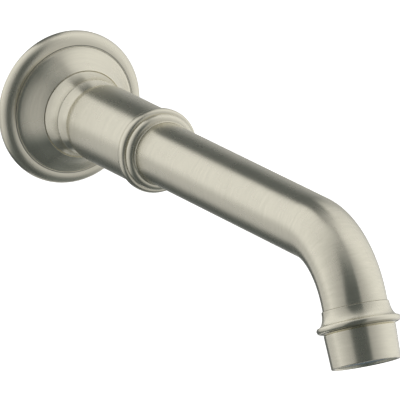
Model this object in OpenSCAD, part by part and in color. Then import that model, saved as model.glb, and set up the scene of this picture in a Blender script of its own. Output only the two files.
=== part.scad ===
// Wall mounted bath spout, millimetres, +Z up.
// The origin is on the inlet axis, in the plane of the wall face that the
// escutcheon bears on. The spout runs out along -Y and turns down at its end.
//
// Turned parts are drawn as [radius, distance] outlines. On the inlet side
// the distance is measured out from the wall. On the outlet side it is
// measured along the falling stream from the end of the tube's bend.

/* [Overall] */
// Wall to the centre of the outlet's lower edge
projection = 228; // [180:1:300]
// Angle of the outlet below the horizontal, degrees
outlet_pitch = 66.5; // [50:0.5:85]
// Centreline radius of the bend
bend_r = 32.3; // [28:0.1:60]

/* [Escutcheon] */
// Radius over the widest part of the rim
rim_r = 28.8; // [27:0.1:32]
// Depth from the wall to the front edge of the face
escutcheon_depth = 14.5; // [13.5:0.1:16]
// Radius of the ridge between the rim and the face
ridge_r = 23.7; // [22.5:0.1:24.5]
// Height of that ridge above the wall
ridge_s = 6.8; // [6:0.1:7.5]
// How far the rim's gasket stands proud of the metal
gasket_proud = 0.4; // [0.2:0.1:0.6]

/* [Neck and sleeve] */
// Radius of the part of the neck that guides the escutcheon
neck_r = 16.1; // [15.9:0.05:16.3]
// Radius at the front of the first neck step
step_r = 14.1; // [13.9:0.1:14.4]
// Outer radius of the sleeve
sleeve_r = 14.5; // [14.4:0.1:15]
// Wall thickness of the sleeve
sleeve_wall = 1.5; // [1.2:0.1:1.6]
// Where the sleeve begins
sleeve_from = 26; // [26:0.1:27]
// Where the sleeve ends
sleeve_to = 70.3; // [66:0.1:72]

/* [Middle collar] */
// Radius over the rear bead
bead_r = 15.7; // [15.5:0.1:16.2]
// Length of the rear bead
bead_len = 4.2; // [4:0.1:5]
// Length of the front shoulder
shoulder_len = 3.1; // [3:0.1:3.6]

/* [Tube] */
// Outer radius of the tube
tube_r = 11.5; // [11:0.05:11.8]
// Wall thickness of the tube
tube_wall = 1.3; // [1:0.1:1.6]
// Where the tube begins, inside the neck
tube_from = 46; // [45:0.5:48]

/* [Outlet] */
// Distance from the end of the bend to the lower edge
outlet_len = 22; // [21.5:0.1:24]
// Radius over the outlet's bead
lip_r = 14.9; // [14.4:0.1:15.2]
// Radius of the shell where it leaves the bead
shell_top_r = 12.75; // [12.4:0.05:13]
// Radius of the shell at its lower edge
shell_end_r = 12.3; // [11.9:0.05:12.5]
// How far the aerator sits inside the lower edge
aerator_recess = 1; // [0.6:0.1:1.6]

/* [Inlet nipple] */
// Length of the thread behind the wall face
thread_len = 16; // [12:1:22]
// Radius of the plug that enters the neck
plug_r = 9; // [8.8:0.1:9.2]
// Length of the plug in front of the wall
plug_len = 42; // [40:1:44]
// Radius of the waterway through the nipple
bore_r = 4.9; // [4.5:0.1:5]
// Width across flats of the fitting key
key_af = 10; // [10, 11]

/* [Fits] */
// Radial clearance between pieces that move on each other
run_gap = 0.06; // [0.03:0.01:0.1]
// Radial clearance of soldered and pressed joints
seat_gap = 0.04; // [0.02:0.01:0.08]

/* [Hidden] */
$fn = 96;

nickel = "#b9b6a4";
brass = "#c9a24b";
rubber = "#2b2b2b";
plastic = "#8fa3ad";
steel = "#b0b4b8";

// Major radius of the G1/2 pipe thread
thread_r = 10.4775;

// Inlet side, distances from the wall
neck_from = 4;
spigot_to = 52;
step_s = 20.7;
neck_spigot_r = sleeve_r - sleeve_wall - seat_gap;
socket_r = plug_r + 0.05;
socket_to = plug_len + 1;
tube_socket_r = tube_r + seat_gap;
guide_r = neck_r + run_gap;
o_ring_wire = 1.0;
groove_r = plug_r - 2 * o_ring_wire + 0.02;
groove_w = 2.6;
groove_rear_s = 12;
groove_front_s = 34;
screw_s = 23.3;
screw_r = 2;
screw_in = 7.6;
screw_out = 13.3;
screw_key_af = 2;
notch_r = 7.3;
escutcheon_ring_s = 10.6;
escutcheon_ring_wire = 0.6;
escutcheon_groove_r = guide_r + 2 * escutcheon_ring_wire + 0.04;
escutcheon_groove_half = 0.7;
gasket_in = 25;
gasket_out = 27;
bead_to = sleeve_to + bead_len;
shoulder_to = bead_to + shoulder_len;
collar_spigot = 7.5;

// Outlet side, distances from the end of the bend
bend_from = projection - bend_r * sin(outlet_pitch) - outlet_len * cos(outlet_pitch);
bend_end = [
    0,
    -bend_from - bend_r * sin(outlet_pitch),
    -bend_r + bend_r * cos(outlet_pitch)
];
collar_from = 1.5;
stub_len = collar_from + 3.2;
land_to = collar_from + 4.6;
lip_s = collar_from + 6.7;
shell_from = collar_from + 8.3;
spigot_r = 11;
thread_bore_r = 10.8;
seat_r = 9.2;
seat_s = 12.7;
washer_t = 1.5;
housing_r = thread_bore_r - run_gap;
housing_from = seat_s + washer_t + 0.1;
housing_to = outlet_len - aerator_recess;
housing_wall = 1.3;
insert_r = housing_r - housing_wall - 0.05;

// A stretch of an ellipse about c, from angle a0 to angle a1
function bow(c, a, b, a0, a1, n = 10) = [
    for (i = [0:n])
        let (t = a0 + (a1 - a0) * i / n)
        [c[0] + a * cos(t), c[1] + b * sin(t)]
];

// A stretch that narrows from r0 to r1 over s0 to s1. bulge bends it: above 1 it
// is steepest at s0 and hollow, below 1 it is steepest at s1 and full.
function narrowing(r0, r1, s0, s1, bulge, n = 10) = [
    for (i = [0:n])
        let (u = i / n)
        [r0 + (r1 - r0) * u * (bulge + (1 - bulge) * u), s0 + (s1 - s0) * u]
];

// Revolves an outline about the inlet axis, out from the wall
module on_inlet(outline) {
    rotate([90, 0, 0]) rotate_extrude() polygon(outline);
}

// Places children on the outlet axis, down the stream
module at_outlet() {
    translate(bend_end) rotate([90 + outlet_pitch, 0, 0]) children();
}

// A plain ring between two radii and two distances
module ring(r_in, r_out, from, to) {
    rotate_extrude() translate([r_in, from]) square([r_out - r_in, to - from]);
}

// An O-ring of round section
module o_ring(centre_r, wire_r) {
    rotate_extrude() translate([centre_r, 0]) circle(r = wire_r, $fn = 32);
}

module wall_nipple() {
    color(brass) difference() {
        on_inlet([
            [bore_r, -thread_len - 2], [thread_r - 1, -thread_len - 2],
            [thread_r, -thread_len - 1], [thread_r, -1],
            [plug_r, 0.4],
            [plug_r, groove_rear_s - groove_w / 2], [groove_r, groove_rear_s - groove_w / 2],
            [groove_r, groove_rear_s + groove_w / 2], [plug_r, groove_rear_s + groove_w / 2],
            [plug_r, screw_s - 3], [notch_r, screw_s - 1.4],
            [notch_r, screw_s + 1.4], [plug_r, screw_s + 3],
            [plug_r, groove_front_s - groove_w / 2], [groove_r, groove_front_s - groove_w / 2],
            [groove_r, groove_front_s + groove_w / 2], [plug_r, groove_front_s + groove_w / 2],
            [plug_r, plug_len - 1.2], [plug_r - 0.9, plug_len], [bore_r, plug_len]
        ]);
        translate([0, -plug_len + 9, 0]) rotate([90, 0, 0])
            cylinder(r = key_af / 2 / cos(30), h = 12, $fn = 6);
    }
}

module nipple_o_ring(s) {
    color(rubber) translate([0, -s, 0]) rotate([90, 0, 0])
        o_ring(groove_r + o_ring_wire + 0.01, o_ring_wire);
}

module escutcheon() {
    back_s = gasket_proud;
    wide_s = 2.4;
    rim_top = ridge_s - 0.25;
    back_round = rim_r - gasket_out - 0.15;
    face_in = guide_r + 0.25;
    // the face is hollowed below a straight cone, most of all next to the ridge
    sag = 0.25;
    cone = [face_in - ridge_r + 0.4, escutcheon_depth - ridge_s];
    across = [cone[1], -cone[0]] / norm(cone);
    color(nickel) on_inlet(concat(
        [[gasket_out + 0.1, back_s]],
        bow([rim_r - back_round, wide_s], back_round, wide_s - back_s, -85, -10, 6),
        bow([ridge_r + 0.7, wide_s], rim_r - ridge_r - 0.7, rim_top - wide_s, 0, 90, 14),
        [[ridge_r + 0.25, rim_top], [ridge_r + 0.2, ridge_s]],
        [for (i = [1:14]) let (t = i / 15)
            [ridge_r - 0.4, ridge_s] + cone * t - across * sag * 6.75 * t * pow(1 - t, 2)],
        [[face_in, escutcheon_depth], [guide_r, escutcheon_depth - 0.25]],
        [[guide_r, escutcheon_ring_s + escutcheon_groove_half],
         [escutcheon_groove_r, escutcheon_ring_s + escutcheon_groove_half],
         [escutcheon_groove_r, escutcheon_ring_s - escutcheon_groove_half],
         [guide_r, escutcheon_ring_s - escutcheon_groove_half]],
        [[guide_r, 8.2], [guide_r + 1.8, 8.2], [ridge_r - 1.9, ridge_s - 1.6],
         [ridge_r - 0.6, ridge_s - 2.8], [gasket_in - 0.6, back_s + 1.9], [gasket_in - 0.6, back_s]],
        [[gasket_in - 0.1, back_s], [gasket_in - 0.1, back_s + 1.1], [gasket_out + 0.1, back_s + 1.1]]
    ));
}

module escutcheon_gasket() {
    color(rubber) on_inlet([
        [gasket_in, 0], [gasket_out, 0],
        [gasket_out, gasket_proud + 1.05], [gasket_in, gasket_proud + 1.05]
    ]);
}

module escutcheon_o_ring() {
    color(rubber) translate([0, -escutcheon_ring_s, 0]) rotate([90, 0, 0])
        o_ring(neck_r + 0.03 + escutcheon_ring_wire, escutcheon_ring_wire);
}

module spout_neck() {
    band_end_r = neck_spigot_r - 0.25;
    color(nickel) difference() {
        on_inlet(concat(
            [[socket_r + 0.8, neck_from], [neck_r - 0.8, neck_from], [neck_r, neck_from + 0.8]],
            narrowing(neck_r, step_r + 0.1, escutcheon_depth, step_s, 1.7),
            [[step_r - 0.1, step_s], [step_r - 0.1, step_s + 0.12]],
            narrowing(step_r, band_end_r, step_s + 0.24, sleeve_from, 1.5),
            [[neck_spigot_r, sleeve_from]],
            [[neck_spigot_r, spigot_to], [tube_socket_r, spigot_to], [tube_socket_r, tube_from]],
            [[tube_r - tube_wall, tube_from], [tube_r - tube_wall - 1.5, socket_to + 1]],
            [[plug_r - 1, socket_to + 1], [plug_r - 1, socket_to], [socket_r, socket_to]],
            [[socket_r, neck_from + 0.8]]
        ));
        translate([0, -screw_s, 0]) rotate([180, 0, 0]) cylinder(r = screw_r + run_gap, h = 20);
    }
}

module grub_screw() {
    color(steel) translate([0, -screw_s, 0]) rotate([180, 0, 0]) difference() {
        rotate_extrude($fn = 48) polygon([
            [0, screw_in], [0.8, screw_in], [screw_r, screw_in + 1.2],
            [screw_r, screw_out - 0.3], [screw_r - 0.3, screw_out], [0, screw_out]
        ]);
        translate([0, 0, screw_out - 2]) cylinder(r = screw_key_af / 2 / cos(30), h = 3, $fn = 6);
    }
}

module sleeve_tube() {
    bore = sleeve_r - sleeve_wall;
    flare = 5;
    color(nickel) on_inlet(concat(
        [[bore, sleeve_from]],
        narrowing(bore + 0.3, sleeve_r, sleeve_from, sleeve_from + flare, 1.9),
        [[sleeve_r, sleeve_to - 0.15], [sleeve_r - 0.15, sleeve_to], [bore, sleeve_to]]
    ));
}

module collar_rear_bead() {
    crest_s = sleeve_to + 0.55 * bead_len;
    bead = concat(
        bow([bead_r - 0.8, crest_s], 0.8, crest_s - sleeve_to, -75, 0, 8),
        bow([bead_r - 1.3, crest_s], 1.3, bead_to - crest_s, 5, 80, 10),
        [[bead_r - 1.3, bead_to]]
    );
    color(nickel) on_inlet(concat(
        [[tube_socket_r, sleeve_to - collar_spigot], [neck_spigot_r, sleeve_to - collar_spigot]],
        [[neck_spigot_r, sleeve_to]],
        bead,
        [[tube_socket_r, bead_to]]
    ));
}

module collar_front_shoulder() {
    foot_r = tube_r + 0.5;
    top_r = bead_r - 1.55;
    color(nickel) on_inlet(concat(
        [[tube_socket_r, bead_to], [top_r - 0.25, bead_to]],
        [[top_r, bead_to + 0.15]],
        bow([foot_r + 0.1, bead_to + 0.3], top_r - foot_r - 0.1, shoulder_len - 0.8, 0, 90, 12),
        bow([foot_r + 0.1, shoulder_to], 0.45, 0.5, -90, -180, 4),
        [[tube_socket_r, shoulder_to]]
    ));
}

// The tube's three runs, straight, bent and straight, as a solid rod of radius r
// that goes on past both ends
module tube_rod(r, past) {
    rotate([90, 0, 0]) translate([0, 0, tube_from - past])
        cylinder(r = r, h = bend_from - tube_from + past);
    translate([0, -bend_from, -bend_r]) rotate([0, 90, 0]) rotate([0, 0, 180])
        rotate_extrude(angle = outlet_pitch) translate([bend_r, 0]) circle(r = r);
    at_outlet() cylinder(r = r, h = stub_len + past);
}

module spout_tube() {
    color(nickel) difference() {
        tube_rod(tube_r, 0);
        tube_rod(tube_r - tube_wall, 1);
    }
}

module outlet_collar() {
    top_r = tube_r + 0.65;
    lip_wire = 0.93;
    flare = 2.6;
    color(nickel) at_outlet() rotate_extrude() polygon(concat(
        [[tube_socket_r, collar_from], [tube_r + 0.3, collar_from], [top_r, collar_from + 0.5]],
        bow([top_r + flare, collar_from + 0.6], -flare, 5.4, 0, 80, 14),
        bow([lip_r - lip_wire, lip_s], lip_wire, lip_wire, -50, 100, 12),
        [[shell_top_r + 0.3, shell_from - 0.35], [shell_top_r - 0.1, shell_from - 0.15],
         [shell_top_r - 0.3, shell_from]],
        [[spigot_r + seat_gap, shell_from], [spigot_r + seat_gap, land_to]],
        [[tube_r - tube_wall, land_to], [tube_r - tube_wall, stub_len], [tube_socket_r, stub_len]]
    ));
}

module outlet_shell() {
    edge = 0.35;
    color(nickel) at_outlet() rotate_extrude() polygon(concat(
        [[seat_r, land_to + 0.1], [spigot_r, land_to + 0.1], [spigot_r, shell_from]],
        [[shell_top_r - 0.25, shell_from], [shell_top_r, shell_from + 0.25]],
        bow([shell_end_r - edge, outlet_len - edge], edge, edge, 0, 90, 5),
        [[thread_bore_r + 0.35, outlet_len], [thread_bore_r, outlet_len - 0.35]],
        [[thread_bore_r, seat_s], [seat_r, seat_s]]
    ));
}

module aerator_washer() {
    color(rubber) at_outlet()
        ring(8.4, thread_bore_r - 0.3, seat_s + 0.05, seat_s + washer_t);
}

module aerator_housing() {
    key_slots = 12;
    color(plastic) at_outlet() difference() {
        rotate_extrude() polygon([
            [insert_r - 0.7, housing_from], [housing_r - 0.3, housing_from],
            [housing_r, housing_from + 0.3], [housing_r, housing_to - 0.3],
            [housing_r - 0.3, housing_to], [insert_r + 0.05, housing_to],
            [insert_r + 0.05, housing_from + 1], [insert_r - 0.7, housing_from + 1]
        ]);
        for (i = [0:key_slots - 1]) rotate([0, 0, i * 360 / key_slots])
            translate([insert_r + 0.7, -0.6, housing_to - 1.1]) cube([2, 1.2, 2]);
    }
}

// A disc pierced by rings of round holes
module pierced_disc(r, from, to, hole_r, rows, pitch) {
    difference() {
        translate([0, 0, from]) cylinder(r = r, h = to - from);
        for (row = [1:rows])
            for (i = [0:6 * row - 1])
                rotate([0, 0, i * 60 / row]) translate([row * pitch, 0, from - 1])
                    cylinder(r = hole_r, h = to - from + 2, $fn = 16);
    }
}

module aerator_strainer() {
    color(steel) at_outlet()
        pierced_disc(insert_r - 0.74, housing_from, housing_from + 0.6, 0.45, 3, 2.4);
}

module aerator_jet_disc() {
    color(plastic) at_outlet()
        pierced_disc(insert_r, housing_from + 1.1, housing_from + 2.3, 0.5, 2, 3.2);
}

module aerator_mixer() {
    color(plastic) at_outlet() {
        ring(insert_r - 1.2, insert_r, housing_from + 2.35, housing_from + 4.2);
        for (a = [0:60:120]) rotate([0, 0, a])
            translate([-insert_r + 0.6, -0.5, housing_from + 2.9])
                cube([2 * insert_r - 1.2, 1, 1.3]);
    }
}

module screen(from) {
    color(steel) at_outlet() translate([0, 0, from]) cylinder(r = insert_r, h = 0.35);
}

// A honeycomb disc, pierced by rows of hexagonal cells
module aerator_outlet_grid() {
    from = housing_from + 5.2;
    rib = 0.5;
    cell = 2.0;
    cols = 4;
    color(plastic) at_outlet() difference() {
        translate([0, 0, from]) cylinder(r = insert_r, h = housing_to - 0.3 - from);
        for (i = [-cols:cols])
            for (j = [-cols:cols])
                let (x = (i + j / 2) * cell, y = j * cell * sin(60))
                if (norm([x, y]) < insert_r - cell * 0.62)
                    translate([x, y, from - 1])
                        cylinder(r = (cell - rib) / 2 / cos(30), h = 8, $fn = 6);
    }
}

wall_nipple();
nipple_o_ring(groove_rear_s);  // nipple_o_ring_rear
nipple_o_ring(groove_front_s);  // nipple_o_ring_front
escutcheon();
escutcheon_gasket();
escutcheon_o_ring();
spout_neck();
grub_screw();
sleeve_tube();
collar_rear_bead();
collar_front_shoulder();
spout_tube();
outlet_collar();
outlet_shell();
aerator_washer();
aerator_housing();
aerator_strainer();
aerator_jet_disc();
aerator_mixer();
screen(housing_from + 4.25);  // aerator_screen_upper
screen(housing_from + 4.7);  // aerator_screen_lower
aerator_outlet_grid();
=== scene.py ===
"""Looks of a wall mounted bath spout in brushed nickel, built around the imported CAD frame."""

import math

import bpy
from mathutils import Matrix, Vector


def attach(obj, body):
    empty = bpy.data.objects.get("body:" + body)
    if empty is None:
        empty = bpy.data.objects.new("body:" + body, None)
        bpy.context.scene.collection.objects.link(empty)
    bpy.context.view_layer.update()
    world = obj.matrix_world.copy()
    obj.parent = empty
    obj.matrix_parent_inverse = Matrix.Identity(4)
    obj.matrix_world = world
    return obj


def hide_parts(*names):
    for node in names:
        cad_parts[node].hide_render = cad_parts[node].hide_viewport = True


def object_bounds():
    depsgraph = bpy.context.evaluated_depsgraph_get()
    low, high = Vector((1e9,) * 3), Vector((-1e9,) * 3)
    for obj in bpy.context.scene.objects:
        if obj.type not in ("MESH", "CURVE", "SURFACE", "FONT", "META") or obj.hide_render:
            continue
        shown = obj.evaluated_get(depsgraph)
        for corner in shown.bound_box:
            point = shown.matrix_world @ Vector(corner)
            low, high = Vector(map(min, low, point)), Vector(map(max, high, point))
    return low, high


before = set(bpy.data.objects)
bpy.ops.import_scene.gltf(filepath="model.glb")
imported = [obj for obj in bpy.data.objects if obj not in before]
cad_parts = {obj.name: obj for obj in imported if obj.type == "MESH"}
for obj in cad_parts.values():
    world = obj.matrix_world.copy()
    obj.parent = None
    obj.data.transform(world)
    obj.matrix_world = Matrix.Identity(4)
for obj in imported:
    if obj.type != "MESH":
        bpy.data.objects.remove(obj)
cad_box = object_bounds()

MM = 0.001
SEGMENTS = 192
# width of the fine dark groove drawn where two turned parts meet, millimetres
SEAM = 0.16

# ---------------------------------------------------------------- dimensions, millimetres
# The driving dimensions of the CAD model, apart from LIP_S and LIP_WIRE, which make the outlet's
# bead a little thicker here. Inlet side: distances out from the wall. Outlet side: distances
# along the falling stream from the end of the tube's bend.
PROJECTION = 228.0
PITCH_DOWN = math.radians(66.5)
BEND_R = 32.3

RIM_R = 28.8
FACE_DEPTH = 14.5
RIDGE_R = 23.7
RIDGE_S = 6.8
GASKET_PROUD = 0.4
GASKET_IN = 25.0
GASKET_OUT = 27.0

NECK_R = 16.1
GUIDE_R = NECK_R + 0.06
NECK_FROM = 4.0
STEP_R = 14.1
STEP_S = 20.7
SLEEVE_R = 14.5
SLEEVE_BORE = 13.0
SLEEVE_FROM = 26.0
SLEEVE_TO = 70.3
SPIGOT_R = SLEEVE_BORE - 0.04
SPIGOT_TO = 52.0

BEAD_R = 15.7
BEAD_TO = SLEEVE_TO + 4.2
SHOULDER_TO = BEAD_TO + 3.1
COLLAR_SPIGOT = 7.5

TUBE_R = 11.5
TUBE_BORE = TUBE_R - 1.3
TUBE_FROM = 46.0
TUBE_SOCKET_R = TUBE_R + 0.04

OUTLET_LEN = 22.0
COLLAR_FROM = 1.5
STUB = COLLAR_FROM + 3.2
LAND_TO = COLLAR_FROM + 4.6
LIP_R = 14.9
LIP_S = COLLAR_FROM + 6.45
LIP_WIRE = 1.2
SHELL_FROM = COLLAR_FROM + 8.3
SHELL_TOP_R = 12.75
SHELL_END_R = 12.3
SHELL_SPIGOT_R = 11.0
THREAD_BORE_R = 10.8
SEAT_R = 9.2
SEAT_S = 12.7

THREAD_R = 10.4775
THREAD_LEN = 16.0
PLUG_R = 9.0
PLUG_LEN = 42.0
NIPPLE_BORE = 4.9
NOTCH_R = 7.3
O_GROOVE_R = 7.02
O_GROOVE_HALF = 1.3
O_RING_REAR_S = 12.0
O_RING_FRONT_S = 34.0
SCREW_S = 23.3
SCREW_R = 2.0

BEND_FROM = PROJECTION - BEND_R * math.sin(PITCH_DOWN) - OUTLET_LEN * math.cos(PITCH_DOWN)
BEND_LEN = BEND_R * PITCH_DOWN
DOWN = Vector((0, -math.cos(PITCH_DOWN), -math.sin(PITCH_DOWN)))
BEND_END = Vector((
    0,
    -BEND_FROM - BEND_R * math.sin(PITCH_DOWN),
    -BEND_R + BEND_R * math.cos(PITCH_DOWN),
))


# ---------------------------------------------------------------- axes that pieces are turned on
def inlet_axis(s):
    """Point and direction at a distance s out from the wall."""
    return Vector((0, -s, 0)), Vector((0, -1, 0))


def outlet_axis(s):
    """Point and direction at a distance s below the end of the bend."""
    return BEND_END + DOWN * s, DOWN


def tube_axis(s):
    """Point and direction on the bent tube's centreline, s out from the wall."""
    if s <= BEND_FROM:
        return inlet_axis(s)
    turn = (s - BEND_FROM) / BEND_R
    if turn >= PITCH_DOWN:
        return outlet_axis(s - BEND_FROM - BEND_LEN)
    centre = Vector((0, -BEND_FROM, -BEND_R))
    out = Vector((0, -math.sin(turn), math.cos(turn)))
    return centre + out * BEND_R, Vector((0, -math.cos(turn), -math.sin(turn)))


def screw_axis(s):
    """Point and direction down the grub screw, s below the inlet axis."""
    return Vector((0, -SCREW_S, -s)), Vector((0, 0, -1))


# ---------------------------------------------------------------- outlines and meshes
def bow(centre, a, b, start, end, steps=16):
    """A stretch of an ellipse about centre, from start to end in degrees."""
    points = []
    for i in range(steps + 1):
        t = math.radians(start + (end - start) * i / steps)
        points.append((centre[0] + a * math.cos(t), centre[1] + b * math.sin(t)))
    return points


def narrowing(r0, r1, s0, s1, bulge, steps=24):
    """A stretch that narrows from r0 to r1. Above 1, bulge makes it hollow, and below 1 full."""
    points = []
    for i in range(steps + 1):
        u = i / steps
        points.append((r0 + (r1 - r0) * u * (bulge + (1 - bulge) * u), s0 + (s1 - s0) * u))
    return points


def groove(top_r, floor_r, middle, half_top, half_floor):
    """The four corners of a groove round a turned part, given half its width at top and floor."""
    return [
        (top_r, middle - half_top),
        (floor_r, middle - half_floor),
        (floor_r, middle + half_floor),
        (top_r, middle + half_top),
    ]


def soften(outline, radius=0.12, sharper_than=24, steps=4, guard=0.35):
    """Rounds each corner of a counterclockwise outline.

    Returns (r, s, wear_and_seam_shade) points. That mark is 1 on outer corners, for edge wear, -1 in
    grooves, for dirt and painted shade, and 0 elsewhere, and guard points on both sides of a corner keep
    it there.
    """
    softened = []
    count = len(outline)
    for i in range(count):
        before, here, after = (Vector(outline[(i + k) % count]) for k in (-1, 0, 1))
        back, ahead = before - here, after - here
        bend = math.pi - back.angle(ahead)
        if bend < math.radians(sharper_than):
            softened.append((here.x, here.y, 0.0))
            continue
        cut = min(radius * math.tan(bend / 2), back.length * 0.45, ahead.length * 0.45)
        start = here + back.normalized() * cut
        end = here + ahead.normalized() * cut
        # 1 marks an outer corner for edge wear, -1 an inner corner or groove for dirt and painted shade
        wear_and_seam_shade = 1.0 if ahead.x * back.y - ahead.y * back.x > 0 else -1.0
        if back.length > 2.5 * guard:
            softened.append((*(here + back.normalized() * (cut + guard)), 0.0))
        for k in range(steps + 1):
            t = k / steps
            spot = start * (1 - t) ** 2 + here * 2 * t * (1 - t) + end * t * t
            softened.append((spot.x, spot.y, wear_and_seam_shade))
        if ahead.length > 2.5 * guard:
            softened.append((*(here + ahead.normalized() * (cut + guard)), 0.0))
    return softened


def add_mesh(name, points, faces, body, slot, *nodes):
    """Makes an object that rides on a body and stands for CAD nodes."""
    mesh = bpy.data.meshes.new(name)
    mesh.from_pydata([tuple(p * MM) for p in points], [], faces)
    mesh.validate()
    obj = bpy.data.objects.new(name, mesh)
    bpy.context.scene.collection.objects.link(obj)
    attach(obj, body)
    if nodes:
        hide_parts(*nodes)
    return obj


def counterclockwise(outline):
    """The outline without repeated points, in the order that puts the solid on the left."""
    outline = [spot for i, spot in enumerate(outline) if math.dist(spot, outline[i - 1]) > 1e-6]
    area = sum(
        here[0] * after[1] - after[0] * here[1]
        for here, after in zip(outline, outline[1:] + outline[:1])
    )
    return outline if area > 0 else outline[::-1]


def turned(name, axis, outline, body, slot, *nodes, segments=SEGMENTS, radius=0.12, shape=None):
    """Turns a closed outline of (radius, distance) points on an axis, with U round and V along."""
    rows = soften(counterclockwise(outline), radius)
    count = len(rows)
    points, normals = [], []
    for i, (r, s, _) in enumerate(rows):
        before, after = rows[i - 1], rows[(i + 1) % count]
        slope = Vector((after[1] - before[1], before[0] - after[0]))
        long_edge = max((before, after), key=lambda end: math.dist(end[:2], (r, s)))
        if math.dist(long_edge[:2], (r, s)) > 4 * min(
            math.dist(before[:2], (r, s)), math.dist(after[:2], (r, s))
        ):
            way = 1 if long_edge is after else -1
            slope = Vector((long_edge[1] - s, r - long_edge[0])) * way
        slope.normalize()
        centre, direction = axis(s)
        side = direction.cross(Vector((1, 0, 0)))
        for k in range(segments):
            turn = 2 * math.pi * k / segments
            out = Vector((1, 0, 0)) * math.cos(turn) + side * math.sin(turn)
            reach = shape(r, s, turn) if shape else r
            points.append(centre + out * reach)
            normals.append(out * slope.x + direction * slope.y)
    faces = []
    for i in range(count):
        below, above = i * segments, (i + 1) % count * segments
        for k in range(segments):
            turn_on = (k + 1) % segments
            faces.append((below + k, below + turn_on, above + turn_on, above + k))
    obj = add_mesh(name, points, faces, body, slot, *nodes)
    paint_turned(obj.data, rows, segments)
    obj.data.polygons.foreach_set("use_smooth", [True] * len(faces))
    if shape:
        obj.data.set_sharp_from_angle(angle=math.radians(40))
    else:
        obj.data.normals_split_custom_set_from_vertices([tuple(n) for n in normals])
    return obj


def paint_turned(mesh, rows, segments):
    """UVs with U round the axis and V along the outline in metres, and the attribute for edge wear and for
    dirt and painted shade in grooves.
    """
    count = len(rows)
    lengths = [0.0]
    for i in range(count):
        after = rows[(i + 1) % count]
        lengths.append(lengths[-1] + math.dist(rows[i][:2], after[:2]) * MM)
    layer = mesh.uv_layers.new(name="turned")
    for face in mesh.polygons:
        row, k = divmod(face.index, segments)
        corners = ((k, row), (k + 1, row), (k + 1, row + 1), (k, row + 1))
        for loop, (u, v) in zip(face.loop_indices, corners):
            layer.data[loop].uv = (u / segments, lengths[v])
    wear_and_seam_shade = mesh.attributes.new("wear_and_seam_shade", "FLOAT", "POINT")
    # the third value is edge wear at 1, and dirt with painted shade in grooves at -1
    for i, (_, _, worn) in enumerate(rows):
        for k in range(segments):
            wear_and_seam_shade.data[i * segments + k].value = worn


# ---------------------------------------------------------------- materials
class Nodes:
    """Short calls for building a node tree."""

    def __init__(self, tree):
        tree.nodes.clear()
        self.tree = tree

    def add(self, kind, **values):
        """Adds a node with the given settings."""
        node = self.tree.nodes.new(kind)
        for key, value in values.items():
            setattr(node, key, value)
        return node

    def link(self, source, target):
        """Links an output to an input."""
        self.tree.links.new(source, target)

    def put(self, target, value):
        """Sets a socket's constant, or links a socket to it."""
        if isinstance(value, bpy.types.NodeSocket):
            self.link(value, target)
        else:
            target.default_value = value

    def math(self, operation, *values):
        """The result of an operation on constants or sockets."""
        node = self.add("ShaderNodeMath", operation=operation)
        for socket, value in zip(node.inputs, values):
            self.put(socket, value)
        return node.outputs[0]

    def ramp(self, value, low, high, to_low=0.0, to_high=1.0):
        """A smooth step of value from low to high."""
        node = self.add("ShaderNodeMapRange", interpolation_type="SMOOTHSTEP")
        for socket, part in zip(node.inputs, (value, low, high, to_low, to_high)):
            self.put(socket, part)
        return node.outputs[0]

    def noise(self, vector, scale, detail=2.0, roughness=0.5):
        """A noise texture's value at a vector."""
        node = self.add("ShaderNodeTexNoise")
        self.put(node.inputs["Vector"], vector)
        node.inputs["Scale"].default_value = scale
        node.inputs["Detail"].default_value = detail
        node.inputs["Roughness"].default_value = roughness
        return node.outputs["Fac"]

    def blend(self, factor, low, high):
        """Mixes two colours by a factor."""
        node = self.add("ShaderNodeMix", data_type="RGBA")
        self.put(node.inputs["Factor"], factor)
        self.put(node.inputs["A"], low)
        self.put(node.inputs["B"], high)
        return node.outputs["Result"]

    def bump(self, height, strength, distance):
        """A normal tilted by a height."""
        node = self.add("ShaderNodeBump")
        self.link(height, node.inputs["Height"])
        node.inputs["Strength"].default_value = strength
        node.inputs["Distance"].default_value = distance
        return node.outputs["Normal"]


def new_material(name):
    """Makes a material with one shader, and returns both with the node tree's helper."""
    material = bpy.data.materials.new(name)
    material.use_nodes = True
    nodes = Nodes(material.node_tree)
    shader = nodes.add("ShaderNodeBsdfPrincipled")
    output = nodes.add("ShaderNodeOutputMaterial")
    nodes.link(shader.outputs["BSDF"], output.inputs["Surface"])
    return material, nodes, shader


def turned_coordinates(nodes, round_scale, along_scale):
    """A vector that is seamless round the axis and stretched along the brush lines."""
    uv = nodes.add("ShaderNodeUVMap", uv_map="turned").outputs["UV"]
    split = nodes.add("ShaderNodeSeparateXYZ")
    nodes.link(uv, split.inputs[0])
    turn = nodes.math("MULTIPLY", split.outputs["X"], 2 * math.pi)
    join = nodes.add("ShaderNodeCombineXYZ")
    for socket, wave in zip(join.inputs, ("COSINE", "SINE")):
        nodes.link(nodes.math("MULTIPLY", nodes.math(wave, turn), round_scale), socket)
    nodes.link(nodes.math("MULTIPLY", split.outputs["Y"], along_scale), join.inputs[2])
    return join.outputs[0]


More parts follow.
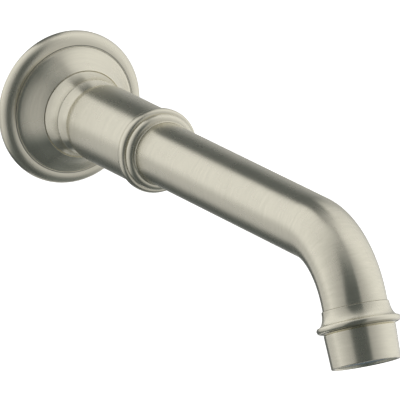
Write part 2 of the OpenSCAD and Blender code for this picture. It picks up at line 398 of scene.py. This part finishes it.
def brushed_metal(name, colour, shade, roughness, anisotropy, lines=1.0):
    """Metal with fine lines round the axis, uneven tone, bright worn edges, and grooves darkened by dirt
    and painted shade.
    """
    # the near black of grooves and seams between parts, partly dirt and partly painted shade
    grime_and_shade = (0.13, 0.135, 0.12)
    line_depth = 0.00003
    material, nodes, shader = new_material(name)
    fine = nodes.noise(turned_coordinates(nodes, 3.0, 6000.0), 1.0, 3.0, 0.6)
    broad = nodes.noise(turned_coordinates(nodes, 1.2, 900.0), 1.0, 2.0, 0.55)
    cloud = nodes.noise(turned_coordinates(nodes, 1.5, 60.0), 1.0, 3.0, 0.5)
    streaks = nodes.math("ADD", nodes.math("MULTIPLY", fine, 0.6), nodes.math("MULTIPLY", broad, 0.4))
    wear_and_seam_shade = nodes.add("ShaderNodeAttribute", attribute_name="wear_and_seam_shade").outputs["Fac"]
    worn = nodes.ramp(wear_and_seam_shade, 0.0, 1.0)
    # mask of inner corners and grooves, where dirt and painted shade darken the metal
    dirt_and_shade = nodes.ramp(wear_and_seam_shade, 0.0, -1.0)
    tone = nodes.blend(nodes.ramp(streaks, 0.3, 0.7), (*shade, 1), (*colour, 1))
    bright = tuple(min(1.0, c * 1.08) for c in colour)
    tone = nodes.blend(nodes.math("MULTIPLY", worn, 0.5), tone, (*bright, 1))
    # painted shade with dirt: grooves and seams between parts are mixed toward near black
    tone = nodes.blend(nodes.math("MULTIPLY", dirt_and_shade, 0.85), tone, (*grime_and_shade, 1))
    nodes.link(tone, shader.inputs["Base Color"])
    shader.inputs["Metallic"].default_value = 1.0
    shader.inputs["Anisotropic"].default_value = anisotropy
    shader.inputs["Anisotropic Rotation"].default_value = 0.25
    rough = nodes.math("ADD", roughness - 0.04, nodes.math("MULTIPLY", cloud, 0.08))
    rough = nodes.math("SUBTRACT", rough, nodes.math("MULTIPLY", worn, 0.04))
    rough = nodes.math("ADD", rough, nodes.math("MULTIPLY", dirt_and_shade, 0.15))
    nodes.link(rough, shader.inputs["Roughness"])
    tangent = nodes.add("ShaderNodeTangent", direction_type="UV_MAP", uv_map="turned")
    nodes.link(tangent.outputs[0], shader.inputs["Tangent"])
    nodes.link(nodes.bump(streaks, 0.10 * lines, line_depth), shader.inputs["Normal"])
    return material


def plain_material(name, colour, shade, roughness, scale, metallic=0.0, bumpiness=0.15, ior=1.45):
    """A surface with mottled tone and fine grain in the object's own space."""
    material, nodes, shader = new_material(name)
    grain_depth = 0.00005
    place = nodes.add("ShaderNodeTexCoord").outputs["Object"]
    grain = nodes.noise(place, scale, 4.0, 0.6)
    cloud = nodes.noise(place, scale / 12, 2.0, 0.5)
    tone = nodes.blend(nodes.ramp(cloud, 0.3, 0.7), (*shade, 1), (*colour, 1))
    nodes.link(tone, shader.inputs["Base Color"])
    shader.inputs["Metallic"].default_value = metallic
    shader.inputs["IOR"].default_value = ior
    nodes.link(nodes.ramp(grain, 0.2, 0.8, roughness - 0.06, roughness + 0.06), shader.inputs["Roughness"])
    nodes.link(nodes.bump(grain, bumpiness, grain_depth), shader.inputs["Normal"])
    return material


NICKEL = brushed_metal("brushed_nickel", (0.82, 0.785, 0.655), (0.745, 0.715, 0.595), 0.27, 0.74)
BRASS = brushed_metal("machined_brass", (0.80, 0.60, 0.27), (0.70, 0.50, 0.21), 0.28, 0.5, 2.0)
STEEL = plain_material("stainless_steel", (0.60, 0.61, 0.62), (0.50, 0.51, 0.52), 0.28, 4000.0, 1.0)
RUBBER = plain_material("sealing_rubber", (0.030, 0.030, 0.032), (0.018, 0.018, 0.019), 0.62, 3000.0)
PLASTIC = plain_material("aerator_plastic", (0.50, 0.58, 0.63), (0.44, 0.53, 0.58), 0.36, 2500.0)


def give(obj, material):
    """Puts a material in every slot of a piece or CAD node."""
    if not obj.data.materials:
        obj.data.materials.append(material)
    for i in range(len(obj.data.materials)):
        obj.data.materials[i] = material


# ---------------------------------------------------------------- pieces on the inlet side
def make_escutcheon():
    """The round wall cover with its rounded rim, ridge, hollowed face and open back."""
    wide_s = 2.4
    rim_top = RIDGE_S - 0.25
    back_round = RIM_R - GASKET_OUT - 0.15
    face_in = GUIDE_R + 0.25
    sag = 0.25
    cone = Vector((face_in - RIDGE_R + 0.4, FACE_DEPTH - RIDGE_S))
    across = Vector((cone.y, -cone.x)).normalized()
    face = []
    # 6.75 t (1 - t)^2 is 1 at its highest, a third of the way in from the ridge
    for i in range(1, 24):
        t = i / 24
        spot = Vector((RIDGE_R - 0.4, RIDGE_S)) + cone * t - across * sag * 6.75 * t * (1 - t) ** 2
        face.append((spot.x, spot.y))
    hub_from = 8.2
    ring_low, ring_high = 9.9, 11.3
    ring_r = GUIDE_R + 1.24
    outline = [(GASKET_OUT + 0.1, GASKET_PROUD)]
    outline += bow((RIM_R - back_round, wide_s), back_round, wide_s - GASKET_PROUD, -85, -10, 10)
    outline += bow((RIDGE_R + 0.7, wide_s), RIM_R - RIDGE_R - 0.7, rim_top - wide_s, 0, 90, 24)
    outline += [(RIDGE_R + 0.25, rim_top), (RIDGE_R + 0.2, RIDGE_S), (RIDGE_R, RIDGE_S)]
    outline += [(RIDGE_R - SEAM / 2, RIDGE_S - SEAM), (RIDGE_R - SEAM, RIDGE_S)]
    outline += face
    outline += [(face_in, FACE_DEPTH), (GUIDE_R, FACE_DEPTH - 0.25), (GUIDE_R, ring_high)]
    outline += [(ring_r, ring_high), (ring_r, ring_low), (GUIDE_R, ring_low)]
    outline += [(GUIDE_R, hub_from), (GUIDE_R + 1.8, hub_from), (RIDGE_R - 1.9, RIDGE_S - 1.6)]
    outline += [(RIDGE_R - 0.6, RIDGE_S - 2.8), (GASKET_IN - 0.6, GASKET_PROUD + 1.9)]
    outline += [(GASKET_IN - 0.6, GASKET_PROUD), (GASKET_IN - 0.1, GASKET_PROUD)]
    outline += [(GASKET_IN - 0.1, GASKET_PROUD + 1.1), (GASKET_OUT + 0.1, GASKET_PROUD + 1.1)]
    obj = turned("escutcheon_shell", inlet_axis, outline, "escutcheon", "nickel", "escutcheon")
    give(obj, NICKEL)


def make_neck():
    """The neck with its two turned steps, the sockets for nipple and tube, and the screw's hole."""
    outline = [(PLUG_R + 0.85, NECK_FROM), (NECK_R - 0.8, NECK_FROM), (NECK_R, NECK_FROM + 0.8)]
    outline += narrowing(NECK_R, STEP_R + 0.1, FACE_DEPTH, STEP_S - SEAM / 2, 1.7)
    outline += [(STEP_R - SEAM, STEP_S)]
    outline += narrowing(STEP_R, SPIGOT_R - 0.25, STEP_S + SEAM / 2, SLEEVE_FROM, 1.5)
    outline += [(SPIGOT_R, SLEEVE_FROM), (SPIGOT_R, SPIGOT_TO), (TUBE_SOCKET_R, SPIGOT_TO)]
    outline += [(TUBE_SOCKET_R, TUBE_FROM), (TUBE_BORE, TUBE_FROM), (TUBE_BORE - 1.5, PLUG_LEN + 2)]
    outline += [(PLUG_R - 1, PLUG_LEN + 2), (PLUG_R - 1, PLUG_LEN + 1), (PLUG_R + 0.05, PLUG_LEN + 1)]
    outline += [(PLUG_R + 0.05, NECK_FROM + 0.8)]
    obj = turned("stepped_neck", inlet_axis, outline, "spout", "nickel", "spout_neck")
    give(obj, NICKEL)
    drill_screw_hole(obj)


def make_nipple():
    """The brass nipple with a helical pipe thread, its sealing grooves and a plain round bore."""
    lead = 1.814
    depth = 0.9
    turns_from, turns_to = -THREAD_LEN - 1, -1.0
    rows = 160
    notch_half_top, notch_half_floor = 3, 1.4

    def threaded(r, s, turn):
        """The radius with the thread cut into it, fading out at both ends."""
        if not turns_from < s < turns_to or r < THREAD_R - 0.01:
            return r
        phase = (s / lead + turn / (2 * math.pi)) % 1.0
        ends = min(1.0, (s - turns_from) / lead, (turns_to - s) / lead)
        return r - depth * ends * abs(2 * phase - 1)

    outline = [(NIPPLE_BORE, -THREAD_LEN - 2), (THREAD_R - 1, -THREAD_LEN - 2)]
    outline += [(THREAD_R, turns_from + (turns_to - turns_from) * i / rows) for i in range(rows + 1)]
    outline += [(PLUG_R, 0.4)]
    outline += groove(PLUG_R, O_GROOVE_R, O_RING_REAR_S, O_GROOVE_HALF, O_GROOVE_HALF)
    outline += groove(PLUG_R, NOTCH_R, SCREW_S, notch_half_top, notch_half_floor)
    outline += groove(PLUG_R, O_GROOVE_R, O_RING_FRONT_S, O_GROOVE_HALF, O_GROOVE_HALF)
    outline += [(PLUG_R, PLUG_LEN - 1.2), (PLUG_R - 0.9, PLUG_LEN), (NIPPLE_BORE, PLUG_LEN)]
    obj = turned("threaded_nipple", inlet_axis, outline, "spout", "brass", "wall_nipple", shape=threaded)
    give(obj, BRASS)


def drill_screw_hole(obj):
    """Cuts the grub screw's hole down through the underside of the neck."""
    sides = 48
    radius = SCREW_R + 0.06
    inside_the_socket, below_the_neck = 8.0, 18.0
    points = []
    for depth in (inside_the_socket, below_the_neck):
        centre, _ = screw_axis(depth)
        for k in range(sides):
            turn = 2 * math.pi * k / sides
            points.append((centre + Vector((math.cos(turn), math.sin(turn), 0)) * radius) * MM)
    faces = [(k, k + sides, (k + 1) % sides + sides, (k + 1) % sides) for k in range(sides)]
    faces += [tuple(range(sides)), tuple(reversed(range(sides, 2 * sides)))]
    mesh = bpy.data.meshes.new("drill")
    mesh.from_pydata([tuple(p) for p in points], [], faces)
    drill = bpy.data.objects.new("drill", mesh)
    bpy.context.scene.collection.objects.link(drill)
    cut = obj.modifiers.new("hole", "BOOLEAN")
    cut.operation = "DIFFERENCE"
    cut.solver = "EXACT"
    cut.object = drill
    bpy.context.view_layer.update()
    evaluated = obj.evaluated_get(bpy.context.evaluated_depsgraph_get())
    cut_mesh = bpy.data.meshes.new_from_object(evaluated)
    obj.modifiers.clear()
    obj.data = cut_mesh
    cut_mesh.set_sharp_from_angle(angle=math.radians(35))
    bpy.data.objects.remove(drill)


def make_sleeve():
    """The thick straight tube, which widens in a curve from the neck's edge."""
    outline = [(SLEEVE_BORE, SLEEVE_FROM)]
    outline += narrowing(SLEEVE_BORE + 0.3, SLEEVE_R, SLEEVE_FROM, SLEEVE_FROM + 5, 1.9)
    outline += [(SLEEVE_R, SLEEVE_TO - SEAM), (SLEEVE_R - SEAM, SLEEVE_TO), (SLEEVE_BORE, SLEEVE_TO)]
    give(turned("sleeve", inlet_axis, outline, "spout", "nickel", "sleeve_tube"), NICKEL)


def make_middle_collar():
    """The bead behind and the shoulder in front, where the sleeve meets the thin tube."""
    rear_round, front_round = 0.8, 1.3
    outline = [(TUBE_SOCKET_R, SLEEVE_TO - COLLAR_SPIGOT), (SPIGOT_R, SLEEVE_TO - COLLAR_SPIGOT)]
    outline += [(SPIGOT_R, SLEEVE_TO), (SLEEVE_R - SEAM, SLEEVE_TO)]
    crest_s = SLEEVE_TO + 0.55 * (BEAD_TO - SLEEVE_TO)
    outline += bow((BEAD_R - rear_round, crest_s), rear_round, crest_s - SLEEVE_TO - 0.1, -75, 0, 12)
    outline += bow((BEAD_R - front_round, crest_s), front_round, BEAD_TO - crest_s - 0.1, 3, 75, 16)
    outline += [(BEAD_R - 1.7, BEAD_TO), (TUBE_SOCKET_R, BEAD_TO)]
    give(turned("rear_bead", inlet_axis, outline, "spout", "nickel", "collar_rear_bead"), NICKEL)

    foot_r = TUBE_R + 0.5
    top_r = BEAD_R - 1.55
    height = SHOULDER_TO - BEAD_TO - 0.8
    outline = [(TUBE_SOCKET_R, BEAD_TO), (top_r - 0.25, BEAD_TO), (top_r, BEAD_TO + 0.15)]
    outline += bow((foot_r + 0.1, BEAD_TO + 0.3), top_r - foot_r - 0.1, height, 0, 90, 24)
    outline += bow((foot_r + 0.1, SHOULDER_TO), 0.45, 0.5, -90, -180, 6)
    outline += [(TUBE_SOCKET_R, SHOULDER_TO)]
    give(turned("front_shoulder", inlet_axis, outline, "spout", "nickel", "collar_front_shoulder"), NICKEL)


def make_tube():
    """The long thin tube with its bend."""
    bend_steps = 72
    stops = [TUBE_FROM] + [BEND_FROM * (1 - t) + TUBE_FROM * t for t in (0.75, 0.5, 0.25)]
    stops += [BEND_FROM + BEND_LEN * i / bend_steps for i in range(bend_steps + 1)]
    stops += [BEND_FROM + BEND_LEN + STUB]
    outline = [(TUBE_R, s) for s in stops] + [(TUBE_BORE, s) for s in reversed(stops)]
    give(turned("bent_tube", tube_axis, outline, "spout", "nickel", "spout_tube"), NICKEL)


# ---------------------------------------------------------------- pieces at the outlet
def make_outlet():
    """The flared collar with its bead, and the cup that holds the aerator."""
    top_r = TUBE_R + 0.5
    flare = 2.6
    flare_height = 5.0
    outline = [(TUBE_SOCKET_R, COLLAR_FROM), (top_r - 0.2, COLLAR_FROM)]
    outline += [(top_r - 0.2 - SEAM, COLLAR_FROM + SEAM), (top_r, COLLAR_FROM + 1.5 * SEAM)]
    outline += bow((top_r + flare, COLLAR_FROM + 0.6), -flare, flare_height, 0, 80, 24)
    outline += bow((LIP_R - LIP_WIRE, LIP_S), LIP_WIRE, LIP_WIRE, -50, 100, 20)
    outline += [(SHELL_TOP_R + 0.3, SHELL_FROM - 0.35), (SHELL_TOP_R - 0.1, SHELL_FROM - 0.15)]
    outline += [(SHELL_TOP_R - 0.3, SHELL_FROM), (SHELL_SPIGOT_R + 0.04, SHELL_FROM)]
    outline += [(SHELL_SPIGOT_R + 0.04, LAND_TO), (TUBE_BORE, LAND_TO), (TUBE_BORE, STUB)]
    outline += [(TUBE_SOCKET_R, STUB)]
    give(turned("flared_collar", outlet_axis, outline, "spout", "nickel", "outlet_collar"), NICKEL)

    edge = 0.35
    outline = [(SEAT_R, LAND_TO + 0.1), (SHELL_SPIGOT_R, LAND_TO + 0.1), (SHELL_SPIGOT_R, SHELL_FROM)]
    outline += [(SHELL_TOP_R - 0.25, SHELL_FROM), (SHELL_TOP_R, SHELL_FROM + 0.25)]
    outline += bow((SHELL_END_R - edge, OUTLET_LEN - edge), edge, edge, 0, 90, 8)
    outline += [(THREAD_BORE_R + 0.35, OUTLET_LEN), (THREAD_BORE_R, OUTLET_LEN - 0.35)]
    outline += [(THREAD_BORE_R, SEAT_S), (SEAT_R, SEAT_S)]
    give(turned("outlet_cup", outlet_axis, outline, "spout", "nickel", "outlet_shell"), NICKEL)


make_escutcheon()
make_neck()
make_nipple()
make_sleeve()
make_middle_collar()
make_tube()
make_outlet()

CAD_LOOKS = {
    "nipple_o_ring_rear": RUBBER,
    "nipple_o_ring_front": RUBBER,
    "escutcheon_gasket": RUBBER,
    "escutcheon_o_ring": RUBBER,
    "grub_screw": STEEL,
    "aerator_washer": RUBBER,
    "aerator_housing": PLASTIC,
    "aerator_strainer": STEEL,
    "aerator_jet_disc": PLASTIC,
    "aerator_mixer": PLASTIC,
    "aerator_screen_upper": STEEL,
    "aerator_screen_lower": STEEL,
    "aerator_outlet_grid": PLASTIC,
}
for node, look in CAD_LOOKS.items():
    give(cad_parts[node], look)


# ---------------------------------------------------------------- studio
ROOM_BRIGHTNESS = 1.25
DARK_LEVEL = 0.085


def window(nodes, value, low, high, soft):
    """One inside low to high, zero outside, with soft edges centred on the limits."""
    rise = nodes.ramp(value, low - soft / 2, low + soft / 2)
    fall = nodes.ramp(value, high - soft / 2, high + soft / 2, 1.0, 0.0)
    return nodes.math("MULTIPLY", rise, fall)


def lit_from_the_front(nodes, bearing, height):
    """The level of the room in front, at the sides and overhead, with a dark flag in front."""
    flag_middle = 31.0
    dim_room, bright_room = 0.31, 0.72
    away = nodes.math("ABSOLUTE", nodes.math("SUBTRACT", bearing, flag_middle))
    level = nodes.ramp(away, 18.0, 112.0, dim_room, bright_room)
    level = nodes.math("MULTIPLY", level, nodes.ramp(bearing, 124.0, 158.0, 1.0, 0.5))
    level = nodes.math("MULTIPLY", level, nodes.ramp(bearing, -160.0, -95.0, 0.62, 1.0))
    level = nodes.math("MULTIPLY", level, nodes.ramp(height, -62.0, -25.0, 0.22, 1.0))
    flag = nodes.math(
        "MULTIPLY", window(nodes, bearing, 3.0, 60.0, 7.0), window(nodes, height, -60.0, 58.0, 30.0)
    )
    return nodes.math("ADD", nodes.math("MULTIPLY", level, nodes.math("SUBTRACT", 1.0, flag)),
                      nodes.math("MULTIPLY", flag, DARK_LEVEL))


def lit_from_behind(nodes, roll, back):
    """The level of the wall side: a bright left, a dim right, and dark above and below."""
    bright_left, lower_left = 0.72, 0.46
    dim_right = 0.30
    pale_overhead = 0.6
    left = nodes.ramp(roll, 86.0, 116.0, bright_left, lower_left)
    left = nodes.math("MULTIPLY", left, window(nodes, roll, 8.0, 152.0, 9.0))
    right = nodes.math("MULTIPLY", window(nodes, roll, -160.0, -56.0, 24.0), dim_right)
    overhead = nodes.ramp(back, 0.60, 0.80, 1.0, 0.0)
    overhead = nodes.math("MULTIPLY", overhead, nodes.ramp(roll, -16.0, -28.0, 0.0, pale_overhead))
    level = nodes.math("MAXIMUM", nodes.math("MAXIMUM", left, right), overhead)
    return nodes.math("MAXIMUM", level, DARK_LEVEL)


def make_world():
    """Soft studio surroundings: pale panels at the sides, dark flags in front, behind and below."""
    world = bpy.data.worlds.new("studio")
    world.use_nodes = True
    bpy.context.scene.world = world
    nodes = Nodes(world.node_tree)
    direction = nodes.add("ShaderNodeTexCoord").outputs["Generated"]
    split = nodes.add("ShaderNodeSeparateXYZ")
    nodes.link(direction, split.inputs[0])
    x, back, up = split.outputs
    left = nodes.math("MULTIPLY", x, -1.0)
    front = nodes.math("MULTIPLY", back, -1.0)
    degrees = 180 / math.pi
    # bearing is 0 in front of the spout, and roll 0 straight above it. Both grow to its left.
    bearing = nodes.math("MULTIPLY", nodes.math("ARCTAN2", left, front), degrees)
    roll = nodes.math("MULTIPLY", nodes.math("ARCTAN2", left, up), degrees)
    height = nodes.math("MULTIPLY", nodes.math("ARCSINE", up), degrees)

    behind = nodes.ramp(back, 0.40, 0.50)
    level = nodes.add("ShaderNodeMix", data_type="FLOAT")
    nodes.link(behind, level.inputs["Factor"])
    nodes.link(lit_from_the_front(nodes, bearing, height), level.inputs["A"])
    nodes.link(lit_from_behind(nodes, roll, back), level.inputs["B"])
    level = level.outputs["Result"]
    colour = nodes.blend(nodes.ramp(level, DARK_LEVEL, 0.35), (0.90, 1.0, 1.0, 1), (1.0, 1.0, 1.0, 1))
    shader = nodes.add("ShaderNodeBackground")
    nodes.link(colour, shader.inputs["Color"])
    nodes.link(nodes.math("MULTIPLY", level, ROOM_BRIGHTNESS), shader.inputs["Strength"])
    output = nodes.add("ShaderNodeOutputWorld")
    nodes.link(shader.outputs[0], output.inputs["Surface"])


def make_floor():
    """A plain pale floor well below the object, kept out of the metal's reflections."""
    size = 90.0
    drop = 6.0
    low = cad_box[0].z - drop
    mesh = bpy.data.meshes.new("studio_floor")
    mesh.from_pydata(
        [(-size, -size, low), (size, -size, low), (size, size, low), (-size, size, low)],
        [], [(0, 1, 2, 3)],
    )
    floor = bpy.data.objects.new("studio_floor", mesh)
    bpy.context.scene.collection.objects.link(floor)
    material, _, shader = new_material("pale_floor")
    shader.inputs["Base Color"].default_value = (0.9, 0.9, 0.9, 1)
    shader.inputs["Roughness"].default_value = 0.9
    shader.inputs["Emission Color"].default_value = (1, 1, 1, 1)
    shader.inputs["Emission Strength"].default_value = 0.75
    mesh.materials.append(material)
    floor.visible_glossy = False
    floor.visible_diffuse = False


def make_key_light():
    """A broad soft light from the upper left, for the parts that aren't metal."""
    data = bpy.data.lights.new("key", "AREA")
    data.shape = "RECTANGLE"
    data.size = 1.6
    data.size_y = 1.6
    data.energy = 25.0
    key = bpy.data.objects.new("key", data)
    key.location = (-1.4, -1.0, 1.8)
    aim = Vector((0, -0.12, 0)) - key.location
    key.rotation_euler = aim.to_track_quat("-Z", "Y").to_euler()
    key.visible_glossy = False
    key.visible_camera = False
    bpy.context.scene.collection.objects.link(key)


def make_camera():
    """A long lens from the front left and a little above."""
    bearing = math.radians(27.98)
    tilt = math.radians(15.48)
    distance = 3.0
    ahead = Vector((
        math.sin(bearing) * math.cos(tilt),
        math.cos(bearing) * math.cos(tilt),
        -math.sin(tilt),
    ))
    right = Vector((math.cos(bearing), -math.sin(bearing), 0))
    below = ahead.cross(right)
    # where the middle of the frame lies, right of and below the spout's origin
    aim_right = 0.04937
    aim_below = 0.03501
    pixels_per_mm = 2.71
    data = bpy.data.cameras.new("camera")
    data.sensor_width = 36.0
    data.lens = pixels_per_mm * distance * 1000 * data.sensor_width / 400
    data.clip_start = 0.5
    data.clip_end = 300.0
    camera = bpy.data.objects.new("camera", data)
    camera.location = right * aim_right + below * aim_below - ahead * distance
    camera.rotation_mode = "QUATERNION"
    camera.rotation_quaternion = ahead.to_track_quat("-Z", "Y")
    bpy.context.scene.collection.objects.link(camera)
    bpy.context.scene.camera = camera


make_world()
make_floor()
make_key_light()
make_camera()
bpy.context.scene.view_settings.view_transform = "Standard"
